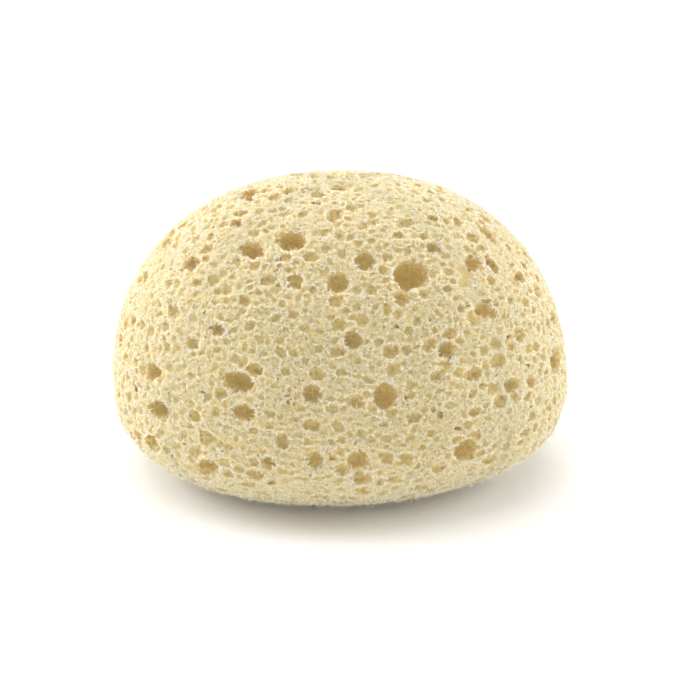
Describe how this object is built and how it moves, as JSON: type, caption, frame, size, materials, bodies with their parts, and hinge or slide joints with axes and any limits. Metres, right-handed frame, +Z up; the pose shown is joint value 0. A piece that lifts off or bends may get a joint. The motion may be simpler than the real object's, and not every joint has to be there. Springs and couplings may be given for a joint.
{
  "type": "sea sponge",
  "caption": "Bun-shaped natural bath sponge with round pores all over and a flat cut base.",
  "frame": {"origin": "middle of the bounding box's bottom, in the plane of the cut base", "axes": "+X along the long side, to the right as seen from the front; +Y to the back; +Z up, square to the cut base"},
  "size_m": [0.1396, 0.1144, 0.09],
  "materials": {
    "sponge": "matt, soft, fibrous natural sponge"
  },
  "bodies": {
    "root": {"sponge": "sponge"}
  },
  "joints": []
}
